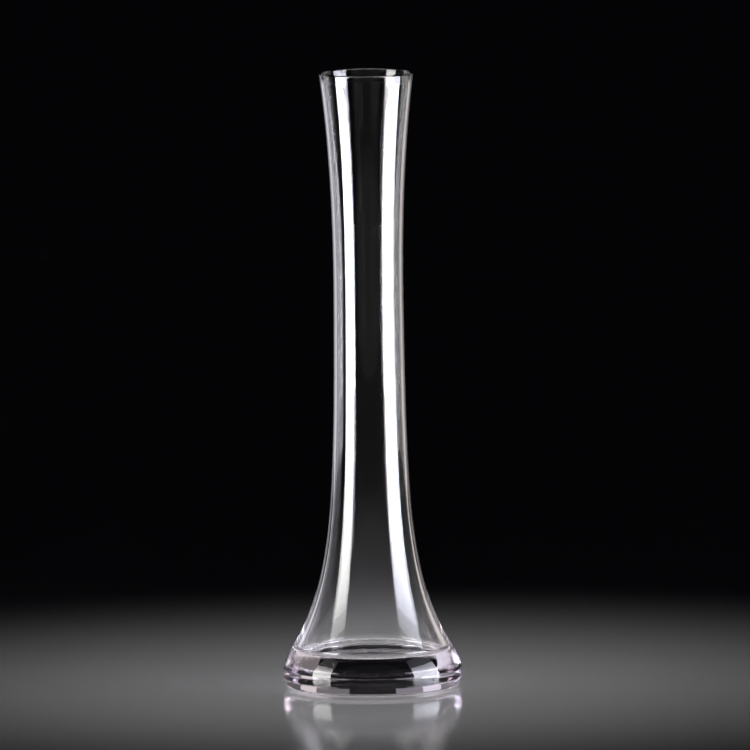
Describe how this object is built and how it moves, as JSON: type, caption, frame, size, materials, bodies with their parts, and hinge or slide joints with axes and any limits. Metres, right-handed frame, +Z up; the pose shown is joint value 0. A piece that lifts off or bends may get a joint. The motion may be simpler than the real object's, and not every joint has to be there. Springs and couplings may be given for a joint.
{
  "type": "flower vase",
  "caption": "Tall bud vase in clear glass: slim neck, slightly flared mouth, wide flared foot and a heavy solid base.",
  "frame": {"origin": "centre of the foot, on the surface the vase stands on", "axes": "+Z up along the vase's axis of revolution"},
  "size_m": [0.1158, 0.1158, 0.4],
  "materials": {
    "clear_glass": "fire-polished clear, faint lilac tint in the thick base"
  },
  "bodies": {
    "root": {"blown_body": "clear_glass", "heavy_base": "clear_glass"}
  },
  "joints": []
}
